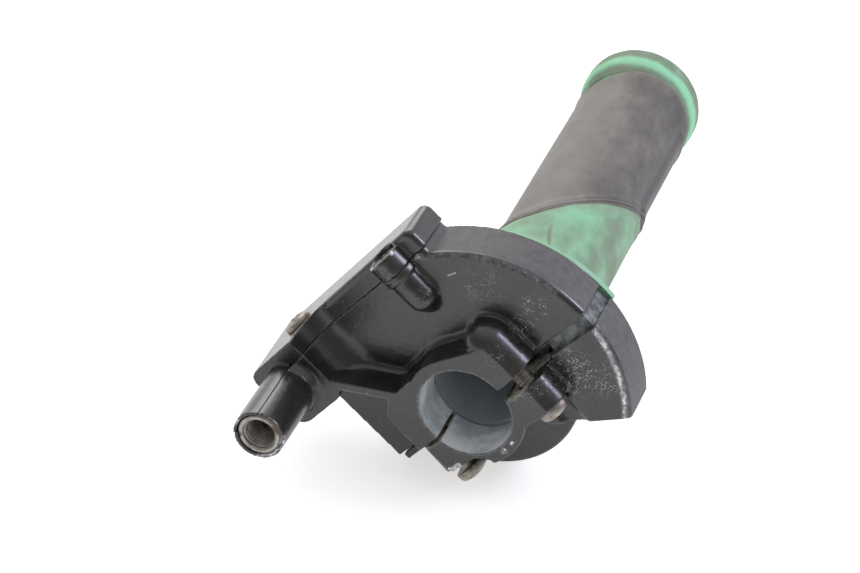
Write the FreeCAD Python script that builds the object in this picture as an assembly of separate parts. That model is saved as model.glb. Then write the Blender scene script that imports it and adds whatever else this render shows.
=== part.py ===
import FreeCAD, Part
import math
import os
from FreeCAD import Vector

# Quick-turn throttle grip for a 22.2 mm handlebar, in millimetres.
# The housing is drawn in its own square frame and leaned over at the end:
#   X runs along the parting faces, Y along the handlebar towards the grip's outer end,
#   Z is square to the parting faces, from the clamp half (below) to the cable cover (above).
# The origin is the centre of the handlebar bore on the clamp's inboard face.

os.makedirs("parts", exist_ok=True)

# handlebar and clamp
HOUSING_LEAN = -48.0
BAR_RADIUS = 11.1
CLAMP_LENGTH = 12.4
CLAMP_RADIUS = 14.3
LEFT_SCREW_X = -14.1
RIGHT_SCREW_X = 15.2
LUG_Y = 5.7
LUG_RADIUS = 5.9
NARROW_LUG_RADIUS = 4.6
LUG_EDGE = 17.2
MATING_Z = -1.2
LEFT_SEAT_Z = -10.2
RIGHT_SEAT_Z = -10.6

# housing shell
WALL = 3.0
PLATE_Y = 9.0
BACK_Y = 22.3
RIM_RADIUS = 37.6
PANEL_X = -29.6
EAR_X = 18.7
COVER_Z = 34.5
ROOF_Z = 38.7
ROOF_RISE = 1.7
EDGE_ROUND = 1.5
BLOCK_LEFT = -37.5
BLOCK_RIGHT = -21.3
BLOCK_Z = 21.0
SWEEP_RADIUS = 8.0

# clamp half, hanging open on its two slack screws
OPEN_ANGLE = 3.5
HINGE_X = -15.6
HINGE_Z = -1.9
SECTOR_EDGE_OFFSET = 10.0
LIP_STEP = 1.2
LIP_HEIGHT = 4.2
LIP_START = 23.5

# journal that holds the throttle tube's collar
NECK_RADIUS = 23.4
NECK_Y = 15.0
NOSE_HOLE = 13.4
COLLAR_RADIUS = 20.0
COLLAR_FRONT = 17.6
COLLAR_BACK = 20.2
NECK_START = 143.0
PLAY = 0.4

# cable inlet and guide
INLET_X = -30.9
INLET_Z = 30.4
INLET_RADIUS = 6.3
INLET_Y = -21.0
INSERT_RADIUS = 5.25
THREAD_RADIUS = 3.46
INSERT_LENGTH = 13.0
CABLE_RADIUS = 1.3
FERRULE_RADIUS = 3.2
GUIDE_X = -23.5
GUIDE_Y = 10.5
GUIDE_HALF_HEIGHT = 3.0

# screws
SCREW_RADIUS = 2.4
HEAD_RADIUS = 4.1
HEAD_HEIGHT = 3.1
SLACK = 1.6
COVER_SCREW_RADIUS = 2.0
COVER_HEAD_RADIUS = 3.6
SUNK_HEAD_RADIUS = 3.2
COVER_HEAD_HEIGHT = 2.2
TOP_BOSS_X = 10.0
TOP_BOSS_Y = 8.0
TOP_BOSS_RADIUS = 3.9
TOP_COLLAR_RADIUS = 4.5
TOP_BOSS_END = 22.2
TOP_COLLAR_Z = 32.5
TOP_BOSS_TOP = 39.2

# throttle tube with its cable drum
TUBE_BORE = 11.35
TUBE_RADIUS = 13.6
NOSE_RADIUS = 12.9
NOSE_Y = 12.9
TUBE_END = 152.0
DRUM_RADIUS = 33.4
GROOVE_RADIUS = 30.4
GROOVE_Y = 17.9
DRUM_FRONT = 13.4
DRUM_BACK = 22.0
DRUM_FIRST = -36.0
DRUM_LAST = 74.0
LID_FIRST = -9.0
LID_RADIUS = 37.0
LID_FRONT = 22.7
LID_BACK = 24.7
LID_SHIFT = (0.4, -1.8)

# grip
RUBBER_START = 24.9
RUBBER_RADIUS = 15.8
WAIST_RADIUS = 14.1
SLEEVE_RADIUS = 14.9
SLEEVE_MIDDLE = 84.3
SLEEVE_SLANT = 19.2
SLANT_ANGLE = -45.0
END_RADIUS = 16.3
END_FRONT = 146.5
GRIP_END = 157.5
FLAP_FIRST = -52.0
FLAP_LAST = -23.0
FLAP_FRONT = 104.0
FLAP_BACK = 142.0
FLAP_RISE = 1.1
FLARE_START = 137.0
FLARE_RISE = 1.0


def polar(radius, degrees, y=0.0):
    angle = math.radians(degrees)
    return Vector(radius * math.cos(angle), y, radius * math.sin(angle))


def upright(x, y, bottom, top, radius):
    """Cylinder along Z."""
    return Part.makeCylinder(radius, top - bottom, Vector(x, y, bottom), Vector(0, 0, 1))


def axial(radius, front, back, x=0.0, z=0.0):
    """Cylinder along Y."""
    return Part.makeCylinder(radius, back - front, Vector(x, front, z), Vector(0, 1, 0))


def block(x0, x1, y0, y1, z0, z1):
    return Part.makeBox(x1 - x0, y1 - y0, z1 - z0, Vector(x0, y0, z0))


def pie(inner, outer, first, last, front, back):
    """Sector of a ring about the bar axis."""
    middle = (first + last) / 2
    rim = Part.Arc(polar(outer, first), polar(outer, middle), polar(outer, last)).toShape()
    if inner > 0:
        hub = Part.Arc(polar(inner, last), polar(inner, middle), polar(inner, first)).toShape()
        sides = [Part.makeLine(polar(outer, last), polar(inner, last)), hub]
        sides.append(Part.makeLine(polar(inner, first), polar(outer, first)))
    else:
        sides = [Part.makeLine(polar(outer, last), Vector(0, 0, 0))]
        sides.append(Part.makeLine(Vector(0, 0, 0), polar(outer, first)))
    face = Part.Face(Part.Wire([rim] + sides))
    solid = face.extrude(Vector(0, back - front, 0))
    solid.translate(Vector(0, front, 0))
    return solid


def rounded_wire(corners, place):
    """Closed wire through corners (u, v, radius); place turns u and v into a point."""
    starts = []
    edges = []
    for index, (u, v, radius) in enumerate(corners):
        here = place(u, v)
        before = place(*corners[index - 1][:2]) - here
        after = place(*corners[(index + 1) % len(corners)][:2]) - here
        before.normalize()
        after.normalize()
        half = before.getAngle(after) / 2
        setback = radius / math.tan(half)
        enter = here + before * setback
        leave = here + after * setback
        bisector = before + after
        bisector.normalize()
        middle = here + bisector * (radius / math.sin(half) - radius)
        starts.append((enter, middle, leave, radius))
    for index, (enter, middle, leave, radius) in enumerate(starts):
        if radius > 0:
            edges.append(Part.Arc(enter, middle, leave).toShape())
        goal = starts[(index + 1) % len(starts)][0]
        if leave.distanceToPoint(goal) > 1e-6:
            edges.append(Part.makeLine(leave, goal))
    return Part.Wire(edges)


def across(corners, front, back):
    """Prism along Y from an outline of (x, z, radius)."""
    wire = rounded_wire(corners, lambda x, z: Vector(x, front, z))
    return Part.Face(wire).extrude(Vector(0, back - front, 0))


def fuse(shapes):
    whole = shapes[0].multiFuse(shapes[1:])
    return whole.removeSplitter()


def cut(shape, tools):
    return shape.cut(Part.makeCompound(tools))


def fillet_where(shape, radius, chosen):
    edges = [edge for edge in shape.Edges if chosen(edge)]
    return shape.makeFillet(radius, edges)


def save(name, shape, lean=True):
    placed = shape.copy()
    if lean:
        placed.rotate(Vector(0, 0, 0), Vector(0, 1, 0), HOUSING_LEAN)
    placed.exportStep("parts/" + name + ".step")
    volume = round(placed.Volume, 1)
    print(name, "valid", placed.isValid(), "solids", len(placed.Solids), "volume", volume)


def open_clamp(shape):
    """Swing a clamp-half shape from closed to hanging open."""
    placed = shape.copy()
    placed.rotate(Vector(HINGE_X, 0, HINGE_Z), Vector(0, 1, 0), OPEN_ANGLE)
    return placed


# ---- housing body ----

def shell_outline():
    disc = pie(0, RIM_RADIUS, -20, 89, PLATE_Y, BACK_Y)
    left = across([(PANEL_X, -8, 0), (0.1, -8, 0), (0.1, COVER_Z, 0), (PANEL_X, COVER_Z, 0)],
                  PLATE_Y, BACK_Y)
    right = block(-0.1, EAR_X, PLATE_Y, BACK_Y, 0, COVER_Z)
    cable_block = across([(BLOCK_LEFT, BLOCK_Z, 4), (BLOCK_RIGHT, BLOCK_Z, 2.5),
                          (BLOCK_RIGHT, COVER_Z + 6, 0), (BLOCK_LEFT, COVER_Z + 6, 0)], 0, BACK_Y)
    keep = block(-60, 60, -1, 40, -20, COVER_Z)
    return fuse([disc.common(keep), left, right, cable_block.common(keep)])


def upper_lugs():
    ring = axial(CLAMP_RADIUS, 0, PLATE_Y + 1)
    left = across([(-LUG_EDGE, -8, 0), (-5, -8, 0), (-5, 13.9, 0), (-13.4, 13.3, 1.5),
                   (-LUG_EDGE, 10.0, 4)],
                  0, PLATE_Y + 1)
    right = across([(5, -8, 0), (LUG_EDGE, -8, 0), (LUG_EDGE, 9.0, 3), (13.6, 10.2, 2), (5, 13.4, 0)],
                   0, PLATE_Y + 1)
    shapes = [ring, left, right]
    for x, dome_z in ((LEFT_SCREW_X, 5.5), (RIGHT_SCREW_X, 8.0)):
        shapes.append(upright(x, LUG_Y, -8, dome_z, LUG_RADIUS))
        shapes.append(Part.makeSphere(LUG_RADIUS, Vector(x, LUG_Y, dome_z)))
    front = block(-40, 40, 0, 12, -8, 20)
    return fuse(shapes).common(front)


def web_rib():
    rib = block(13, 33, 0, PLATE_Y + 1, -1.5, 1.0)
    rib = fillet_where(rib, 1.0, lambda edge: edge.BoundBox.YMax < 0.01 and edge.BoundBox.ZMin > 0.99
                       and edge.BoundBox.XLength > 1)
    rib.rotate(Vector(0, 0, 0), Vector(0, 1, 0), -(180 + HOUSING_LEAN))
    return rib


def top_boss():
    shaft = upright(TOP_BOSS_X, TOP_BOSS_Y, TOP_BOSS_END + TOP_BOSS_RADIUS, COVER_Z, TOP_BOSS_RADIUS)
    dome = Part.makeSphere(TOP_BOSS_RADIUS,
                           Vector(TOP_BOSS_X, TOP_BOSS_Y, TOP_BOSS_END + TOP_BOSS_RADIUS))
    collar = upright(TOP_BOSS_X, TOP_BOSS_Y, TOP_COLLAR_Z, COVER_Z, TOP_COLLAR_RADIUS)
    return fuse([shaft, dome, collar])


def chamber():
    """Drum room, open at the back and into the clamp half."""
    room = pie(0, RIM_RADIUS - WALL, -25, NECK_START, PLATE_Y + WALL, BACK_Y + 1)
    inside = block(-60, 60, 0, 40, -30, COVER_Z + 1)
    pocket = block(PANEL_X + WALL, -10, PLATE_Y + WALL, BACK_Y + 1, WALL - 1.2, 13.0)
    pocket = cut(pocket, [axial(NECK_RADIUS, 0, 40)])
    return [room.common(inside), pocket]


def journal_cavity():
    """Room for the tube's nose and collar."""
    nose = axial(NOSE_HOLE, CLAMP_LENGTH, COLLAR_FRONT + 1)
    collar = axial(COLLAR_RADIUS + PLAY, COLLAR_FRONT - PLAY, COLLAR_BACK + PLAY)
    exit_hole = axial(TUBE_RADIUS + 1.0, COLLAR_BACK, BACK_Y + 1)
    return [axial(BAR_RADIUS, -1, CLAMP_LENGTH + 1), nose, collar, exit_hole]


def cable_way():
    """Ferrule bore, guide pocket and the channel to the drum."""
    bore = axial(INSERT_RADIUS, INLET_Y - 1, INLET_Y + INSERT_LENGTH, INLET_X, INLET_Z)
    ferrule = axial(FERRULE_RADIUS, INLET_Y, 9.0, INLET_X, INLET_Z)
    pocket = block(-34.3, GUIDE_X, 9.0, 20.6, INLET_Z - GUIDE_HALF_HEIGHT, COVER_Z + 1)
    channel = block(GUIDE_X - 1, -3, 14.6, 20.6, INLET_Z - GUIDE_HALF_HEIGHT, COVER_Z + 1)
    post = upright(GUIDE_X, GUIDE_Y, 20, 40, 4.2)
    return [bore, ferrule, cut(pocket, [post]), cut(channel, [post])]


def lip_rebate():
    """Step inside the rim and the plate that the clamp half's lip enters."""
    outer = pie(LIP_START - 1.2, RIM_RADIUS - LIP_STEP + PLAY, -20, 12, PLATE_Y + LIP_STEP - PLAY,
                BACK_Y + 1)
    below = block(LIP_START - 1.0, 60, 0, 40, -30, MATING_Z + LIP_HEIGHT + 0.3)
    return [outer.common(below)]


def body_holes():
    holes = []
    for x, depth in ((LEFT_SCREW_X, 7.0), (RIGHT_SCREW_X, 10.0)):
        holes.append(upright(x, LUG_Y, -10, depth, SCREW_RADIUS))
    holes.append(upright(TOP_BOSS_X, TOP_BOSS_Y, 27.5, 40, COVER_SCREW_RADIUS))
    holes.append(upright(GUIDE_X, GUIDE_Y, 25.5, 40, COVER_SCREW_RADIUS))
    return holes


def inlet_tube():
    tube = axial(INLET_RADIUS, INLET_Y, 1.0, INLET_X, INLET_Z)
    root = Part.makeCone(INLET_RADIUS, INLET_RADIUS + 1.3, 2.2, Vector(INLET_X, -2.2, INLET_Z),
                         Vector(0, 1, 0))
    return fuse([tube, root])


def block_sweep(bottom, top):
    """Hollow curve that carries the side of the cable block over to the plate."""
    corner = block(BLOCK_RIGHT - 1, BLOCK_RIGHT + SWEEP_RADIUS, PLATE_Y - SWEEP_RADIUS, PLATE_Y + 1,
                   bottom, top)
    hollow = upright(BLOCK_RIGHT + SWEEP_RADIUS, PLATE_Y - SWEEP_RADIUS, bottom - 1, top + 1,
                     SWEEP_RADIUS)
    return cut(corner, [hollow])


def body_sweep():
    above_rib = block(0, 80, -1, PLATE_Y + 2, -80, 0)
    above_rib.rotate(Vector(0, 0, 0), Vector(0, 1, 0), -(180 + HOUSING_LEAN))
    return block_sweep(0, COVER_Z).common(above_rib)


def housing_body():
    solid = shell_outline()
    solid = fillet_where(solid, EDGE_ROUND, on_front_rim)
    solid = fuse([solid, upper_lugs(), web_rib(), top_boss(), body_sweep()])
    solid = solid.fuse(inlet_tube()).removeSplitter()
    above = block(-60, 60, -40, 40, MATING_Z, COVER_Z)
    solid = solid.common(above)
    tools = chamber() + journal_cavity() + cable_way() + lip_rebate() + body_holes()
    return cut(solid, tools)


def on_front_rim(edge):
    box = edge.BoundBox
    flat = abs(box.YMax - PLATE_Y) < 0.01 and box.YLength < 0.01
    return flat and abs(edge.distToShape(Part.Vertex(0, PLATE_Y, 0))[0] - RIM_RADIUS) < 0.01


# ---- cable cover ----

def cover_shell():
    low = COVER_Z
    corners = [(BLOCK_LEFT, low, 0), (EAR_X + 0.8, low, 0),
               (EAR_X + 0.8, ROOF_Z + ROOF_RISE, 2.2), (BLOCK_LEFT, ROOF_Z, 2.6)]
    lid = across(corners, 0, BACK_Y)
    notch = across([(BLOCK_RIGHT, low - 1, 0), (60, low - 1, 0), (60, 60, 0), (BLOCK_RIGHT, 60, 0)],
                   -1, PLATE_Y)
    outline = across(corners, 0, PLATE_Y + 1)
    lid = fillet_where(cut(lid, [notch]), EDGE_ROUND, on_cover_front)
    return fuse([lid, block_sweep(COVER_Z, ROOF_Z + ROOF_RISE).common(outline)])


def on_cover_front(edge):
    box = edge.BoundBox
    return box.YMin > PLATE_Y - 0.01 and box.YMax < PLATE_Y + 0.01 and box.ZMax > COVER_Z + 0.5


def cable_cover():
    boss = upright(TOP_BOSS_X, TOP_BOSS_Y, COVER_Z, TOP_BOSS_TOP, TOP_COLLAR_RADIUS)
    strip = axial(INLET_RADIUS, INLET_Y, 0.5, INLET_X, INLET_Z)
    above = block(-60, 60, -40, 40, COVER_Z, 60)
    solid = fuse([cover_shell(), boss, strip.common(above)])
    room = block(-34.3, 6.5, 11.6, 20.4, COVER_Z - 1, COVER_Z + 1.9)
    posts = [upright(GUIDE_X, GUIDE_Y, 30, 40, 4.2)]
    tools = [cut(room, posts)]
    tools.append(axial(INSERT_RADIUS + 0.25, INLET_Y - 1, INLET_Y + INSERT_LENGTH, INLET_X, INLET_Z))
    tools.append(upright(TOP_BOSS_X, TOP_BOSS_Y, 30, 60, COVER_SCREW_RADIUS + 0.2))
    tools.append(upright(TOP_BOSS_X, TOP_BOSS_Y, upper_bearing, 60, SUNK_HEAD_RADIUS + 0.25))
    tools.append(upright(GUIDE_X, GUIDE_Y, 30, 60, COVER_SCREW_RADIUS + 0.2))
    tools.append(upright(GUIDE_X, GUIDE_Y, lower_bearing, 60, COVER_HEAD_RADIUS + 0.4))
    return cut(solid, tools)


# ---- clamp half ----

def clamp_lugs():
    ring = axial(CLAMP_RADIUS, 0, NECK_Y + 1)
    left = across([(HINGE_X, HINGE_Z, 0), (-5, HINGE_Z, 0), (-5, -13, 0), (-8.8, LEFT_SEAT_Z, 0),
                   (-14.6, LEFT_SEAT_Z, 1.2), (-15.0, -9.0, 0.8)][::-1], 0, PLATE_Y)
    right = across([(5, HINGE_Z, 0), (LUG_EDGE + 0.4, HINGE_Z, 0), (LUG_EDGE + 0.4, RIGHT_SEAT_Z, 0.8),
                    (9.4, RIGHT_SEAT_Z, 1.0), (5, -13.2, 0)], 0, PLATE_Y)
    shapes = [ring, left, right]
    shapes.append(upright(LEFT_SCREW_X, LUG_Y, LEFT_SEAT_Z, HINGE_Z, NARROW_LUG_RADIUS))
    shapes.append(upright(RIGHT_SCREW_X, LUG_Y, RIGHT_SEAT_Z, HINGE_Z, LUG_RADIUS))
    return fuse(shapes).common(block(-40, 40, 0, 30, -40, HINGE_Z))


def sector_wing():
    """Plate and rim of the part of the drum case that belongs to the clamp half."""
    disc = pie(0, RIM_RADIUS, -60, 20, PLATE_Y, BACK_Y)
    disc = fillet_where(disc, EDGE_ROUND, on_front_rim)
    edge = block(0, 60, 0, 40, -SECTOR_EDGE_OFFSET, 60)
    edge.rotate(Vector(0, 0, 0), Vector(0, 1, 0), 27.3)
    return disc.common(edge)


def neck():
    """Half round collar case below the bar."""
    case = axial(NECK_RADIUS, NECK_Y, BACK_Y)
    return fillet_where(case, 0.9, lambda edge: edge.BoundBox.YMax < NECK_Y + 0.01)


def clamp_lip():
    rim = pie(RIM_RADIUS - WALL, RIM_RADIUS - LIP_STEP, -12, 12, PLATE_Y + LIP_STEP, BACK_Y)
    plate = pie(LIP_START - 2, RIM_RADIUS - LIP_STEP, -12, 12, PLATE_Y + LIP_STEP, PLATE_Y + WALL)
    return fuse([rim, plate]).common(block(LIP_START, 60, 0, 40, HINGE_Z - 2, HINGE_Z + LIP_HEIGHT))


def clamp_half():
    case = fuse([sector_wing(), neck()])
    below = block(-60, 60, -1, 40, -60, HINGE_Z)
    solid = fuse([clamp_lugs(), case.common(below)])
    solid = fuse([solid, clamp_lip()])
    relief = block(11.0, 22.5, -1, PLATE_Y + 1.5, HINGE_Z - 1.1, 20)
    drum_room = pie(NECK_RADIUS - WALL, RIM_RADIUS - WALL, -70, 20, PLATE_Y + WALL, BACK_Y + 1)
    keep_wall = block(0, 60, 0, 40, -SECTOR_EDGE_OFFSET + WALL, 60)
    keep_wall.rotate(Vector(0, 0, 0), Vector(0, 1, 0), 27.3)
    web_way = pie(0, NECK_RADIUS + 1, -39.5, 20, COLLAR_FRONT - PLAY, BACK_Y + 1)
    tools = [relief, drum_room.common(keep_wall), web_way] + journal_cavity()
    tools.append(across([(-30, LEFT_SEAT_Z, 0), (-7.4, LEFT_SEAT_Z + 0.1, 1.0), (-4.2, -11.8, 0.5),
                         (-3.4, -16, 0),
                         (-30, -16, 0)][::-1], -1, PLATE_Y))
    tools.append(upright(RIGHT_SCREW_X, LUG_Y, -40, RIGHT_SEAT_Z, HEAD_RADIUS + 0.5))
    foot = block(-28.6, -COLLAR_RADIUS - 1, PLATE_Y, BACK_Y, MATING_Z - 2.1, MATING_Z - PLAY)
    opened = fuse([open_clamp(cut(solid, tools)), foot])
    bolts = [upright(x, LUG_Y, -20, 5, SCREW_RADIUS + 0.3) for x in (LEFT_SCREW_X, RIGHT_SCREW_X)]
    return cut(opened, bolts)


# ---- inlet and cable guide ----

def cable_insert():
    sleeve = axial(INSERT_RADIUS, INLET_Y + 0.3, INLET_Y + INSERT_LENGTH, INLET_X, INLET_Z)
    hole = axial(THREAD_RADIUS, INLET_Y - 1, INLET_Y + INSERT_LENGTH + 1, INLET_X, INLET_Z)
    mouth = Part.makeCone(THREAD_RADIUS + 0.7, THREAD_RADIUS, 0.8,
                          Vector(INLET_X, INLET_Y + 0.3, INLET_Z),
                          Vector(0, 1, 0))
    return cut(sleeve, [hole, mouth])


def cable_ferrule():
    start = INLET_Y + INSERT_LENGTH
    tube = axial(FERRULE_RADIUS, start, 8.6, INLET_X, INLET_Z)
    seat = axial(FERRULE_RADIUS - 0.8, start - 1, start + 9.0, INLET_X, INLET_Z)
    way = axial(CABLE_RADIUS, start, 10, INLET_X, INLET_Z)
    return cut(tube, [seat, way])


def cable_guide():
    """Quarter-round nylon shoe that turns the cable from the inlet to the drum."""
    bend = GUIDE_X - INLET_X
    outer = upright(GUIDE_X, GUIDE_Y, INLET_Z - GUIDE_HALF_HEIGHT, INLET_Z + GUIDE_HALF_HEIGHT,
                    bend + 2.4)
    hub = upright(GUIDE_X, GUIDE_Y, 20, 40, 4.35)
    quarter = block(-40, GUIDE_X, GUIDE_Y, 40, 20, 40)
    track = Part.makeTorus(bend, CABLE_RADIUS, Vector(GUIDE_X, GUIDE_Y, INLET_Z))
    slot_out = upright(GUIDE_X, GUIDE_Y, INLET_Z, 40, bend + CABLE_RADIUS)
    slot_in = upright(GUIDE_X, GUIDE_Y, INLET_Z - 1, 41, bend - CABLE_RADIUS)
    return cut(outer.common(quarter), [hub, track, slot_out.cut(slot_in)])


# ---- fasteners ----

def pan_screw(shank_radius, head_radius, head_height, length, crown, recess):
    """Screw along +Z with its bearing face at z = 0 and its head below."""
    shank = upright(0, 0, -0.1, length, shank_radius)
    shank = fillet_where(shank, shank_radius * 0.3, lambda edge: edge.BoundBox.ZMin > length - 0.01)
    head = upright(0, 0, -head_height, 0, head_radius)
    head = fillet_where(head, crown, lambda edge: edge.BoundBox.ZMax < -head_height + 0.01)
    arm = 0.17 * head_radius
    reach = 0.55 * head_radius
    cross = [block(-reach, reach, -arm, arm, -head_height - 1, -head_height + recess),
             block(-arm, arm, -reach, reach, -head_height - 1, -head_height + recess)]
    return cut(fuse([shank, head]), cross)


def clamp_screw(x, seat_z, slack):
    screw = pan_screw(SCREW_RADIUS, HEAD_RADIUS, HEAD_HEIGHT, 16.5, 1.9, 1.5)
    seat = open_clamp(Part.Vertex(x, LUG_Y, seat_z)).Z
    tilt_drop = HEAD_RADIUS * math.tan(math.radians(OPEN_ANGLE))
    screw.translate(Vector(x, LUG_Y, seat - tilt_drop - slack))
    return screw


def cover_screw(x, y, bearing, length, head_radius):
    screw = pan_screw(COVER_SCREW_RADIUS, head_radius, COVER_HEAD_HEIGHT, length, 1.3, 1.2)
    screw.rotate(Vector(0, 0, 0), Vector(1, 0, 0), 180)
    screw.translate(Vector(x, y, bearing))
    return screw


# ---- twisting grip ----

def drum_lid():
    """Thin sector that covers the open back of the drum case."""
    lid = axial(LID_RADIUS, LID_FRONT, LID_BACK, *LID_SHIFT)
    lid = fillet_where(lid, 0.6, lambda edge: edge.BoundBox.YMin > LID_BACK - 0.01)
    sector = pie(TUBE_RADIUS - 1, LID_RADIUS + 5, LID_FIRST, DRUM_LAST, LID_FRONT - 1, LID_BACK + 1)
    return lid.common(sector)


def cable_drum():
    """Grooved sector with a thin hub plate that seats on the back of the tube's collar."""
    floor = GROOVE_RADIUS - 4
    cam = pie(floor, DRUM_RADIUS, DRUM_FIRST, DRUM_LAST, DRUM_FRONT, DRUM_BACK)
    web = pie(TUBE_RADIUS - 1, floor + 1, DRUM_FIRST, DRUM_LAST, COLLAR_FRONT, DRUM_BACK)
    spacer = pie(floor, DRUM_RADIUS - 1, LID_FIRST, DRUM_LAST, DRUM_BACK - 1, LID_FRONT + 1)
    groove = Part.makeTorus(GROOVE_RADIUS + 1.6, 1.7, Vector(0, GROOVE_Y, 0), Vector(0, 1, 0))
    mouth = axial(DRUM_RADIUS + 2, GROOVE_Y - 1.7, GROOVE_Y + 1.7)
    mouth = mouth.cut(axial(GROOVE_RADIUS + 1.6, 0, 40))
    nipple = pie(GROOVE_RADIUS - 3.4, DRUM_RADIUS + 1, DRUM_FIRST + 5, DRUM_FIRST + 18,
                 GROOVE_Y - 3.6, GROOVE_Y + 3.6)
    seat = [axial(COLLAR_RADIUS, COLLAR_FRONT - 1, COLLAR_BACK), axial(TUBE_RADIUS, 0, LID_BACK + 1)]
    return cut(fuse([cam, web, spacer, drum_lid()]), [groove, mouth, nipple] + seat)


def throttle_tube():
    nose = axial(NOSE_RADIUS, NOSE_Y, COLLAR_FRONT + 1)
    collar = axial(COLLAR_RADIUS, COLLAR_FRONT, COLLAR_BACK)
    tube = axial(TUBE_RADIUS, COLLAR_BACK - 1, TUBE_END)
    return cut(fuse([nose, collar, tube]), [axial(TUBE_BORE, 0, TUBE_END + 1)])


def before_slant():
    """Everything inboard of the slanted plane where the sleeve begins."""
    slant = math.degrees(math.atan(SLEEVE_SLANT / SLEEVE_RADIUS))
    front = block(-60, 60, -100, 0, -60, 60)
    front.rotate(Vector(0, 0, 0), Vector(0, 0, 1), slant)
    front.rotate(Vector(0, 0, 0), Vector(0, 1, 0), -(SLANT_ANGLE + HOUSING_LEAN))
    front.translate(Vector(0, SLEEVE_MIDDLE, 0))
    return front


def grip_rubber():
    """Grip with a closed outer end, drawn in under the sleeve."""
    section = [(TUBE_RADIUS, RUBBER_START, 0), (WAIST_RADIUS, RUBBER_START, 0),
               (WAIST_RADIUS, END_FRONT - 0.6, 0.4),
               (END_RADIUS, END_FRONT + 2.2, 1.6), (END_RADIUS - 0.3, GRIP_END, 2.6), (0, GRIP_END, 0),
               (0, TUBE_END, 0), (TUBE_RADIUS, TUBE_END, 0)]
    core = Part.Face(rounded_wire(section, lambda radius, y: Vector(radius, y, 0)))
    core = core.revolve(Vector(0, 0, 0), Vector(0, 1, 0), 360)
    bare = axial(RUBBER_RADIUS, RUBBER_START, SLEEVE_MIDDLE + 2 * SLEEVE_SLANT)
    bare = fillet_where(bare, 0.5, lambda edge: edge.BoundBox.YMax < RUBBER_START + 0.01)
    bare = cut(bare.common(before_slant()), [axial(TUBE_RADIUS, 0, TUBE_END)])
    return fuse([core, bare])


def grip_sleeve():
    """Second sleeve pushed over the grip, cut on a slant, with a proud lengthwise flap."""
    flare = Part.makeCone(SLEEVE_RADIUS, SLEEVE_RADIUS + FLARE_RISE, END_FRONT - FLARE_START,
                          Vector(0, FLARE_START, 0), Vector(0, 1, 0))
    flap = pie(WAIST_RADIUS, SLEEVE_RADIUS + FLAP_RISE, FLAP_FIRST + HOUSING_LEAN,
               FLAP_LAST + HOUSING_LEAN,
               FLAP_FRONT, FLAP_BACK)
    sleeve = fuse([axial(SLEEVE_RADIUS, RUBBER_START, END_FRONT), flare, flap])
    return cut(sleeve, [before_slant(), grip_rubber(), axial(TUBE_RADIUS, 0, TUBE_END)])


lower_bearing = ROOF_Z + 0.2
upper_bearing = TOP_BOSS_TOP - COVER_HEAD_HEIGHT - 0.1

save("housing_body", housing_body())
save("cable_cover", cable_cover())
save("clamp_half", clamp_half())
save("cable_insert", cable_insert())
save("cable_ferrule", cable_ferrule())
save("cable_guide", cable_guide())
save("clamp_screw_left", clamp_screw(LEFT_SCREW_X, LEFT_SEAT_Z, SLACK))
save("clamp_screw_right", clamp_screw(RIGHT_SCREW_X, RIGHT_SEAT_Z, 0))
save("cover_screw_lower", cover_screw(GUIDE_X, GUIDE_Y, lower_bearing, 12.5, COVER_HEAD_RADIUS))
save("cover_screw_upper", cover_screw(TOP_BOSS_X, TOP_BOSS_Y, upper_bearing, 9.0, SUNK_HEAD_RADIUS))
save("throttle_tube", throttle_tube())
save("cable_drum", cable_drum())
save("grip_rubber", grip_rubber())
save("grip_sleeve", grip_sleeve())
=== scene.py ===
import math
import bpy
import numpy as np
from mathutils import Matrix, Vector, noise


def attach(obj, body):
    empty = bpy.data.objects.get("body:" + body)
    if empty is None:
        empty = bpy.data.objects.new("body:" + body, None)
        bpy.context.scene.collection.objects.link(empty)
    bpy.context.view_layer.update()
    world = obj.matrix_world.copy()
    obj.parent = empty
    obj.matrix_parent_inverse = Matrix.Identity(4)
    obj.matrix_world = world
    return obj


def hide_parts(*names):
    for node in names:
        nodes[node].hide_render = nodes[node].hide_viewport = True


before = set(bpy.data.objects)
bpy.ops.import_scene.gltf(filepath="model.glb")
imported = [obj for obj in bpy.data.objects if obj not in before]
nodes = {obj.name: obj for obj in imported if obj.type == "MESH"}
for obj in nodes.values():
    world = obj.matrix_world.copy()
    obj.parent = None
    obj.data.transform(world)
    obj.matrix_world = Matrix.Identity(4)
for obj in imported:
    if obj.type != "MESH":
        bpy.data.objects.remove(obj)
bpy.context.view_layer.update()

# The castings are worked in millimetres in the housing's own square frame:
# a runs along the parting faces, y along the bar, b square to the parting faces.
MM = 0.001
LEAN = math.radians(-48.0)
TO_ROW = Matrix.Rotation(LEAN, 3, "Y")
PLATE_Y = 9.0
RIM_RADIUS = 37.6
COVER_B = 34.5
BORE_CENTRE = {"housing_body": (0.0, 0.0), "clamp_half": (0.09, -0.96)}
BORE_EDGE = 11.35
BORE_DEPTH = 13.0
LUG_REACH = 22.0
# The clamp half stands open about a line near its left end, given as (a, b).
CLAMP_PIVOT = (-15.6, -1.9)
CLAMP_OPENING = math.radians(3.5)
CLAMP_LEFT = -20.0
# Stretch of the rubber's noise, drawn out along the bar.
ALONG_BAR = (1.0, 0.55, 1.0)


# ---- small tools ----

def srgb(red, green, blue):
    """Linear colour from display values of 0 to 255."""
    values = [channel / 255.0 for channel in (red, green, blue)]
    linear = [v / 12.92 if v <= 0.04045 else ((v + 0.055) / 1.055) ** 2.4 for v in values]
    return tuple(linear) + (1.0,)


def smoothstep(low, high, values):
    t = np.clip((values - low) / (high - low), 0.0, 1.0)
    return t * t * (3.0 - 2.0 * t)


def from_local(points):
    """Housing-frame millimetres to metres in the row's frame."""
    turn = np.array(TO_ROW)
    return (np.asarray(points, float) @ turn.T) * MM


def to_local(points):
    turn = np.array(TO_ROW)
    return (np.asarray(points, float) / MM) @ turn


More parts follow.
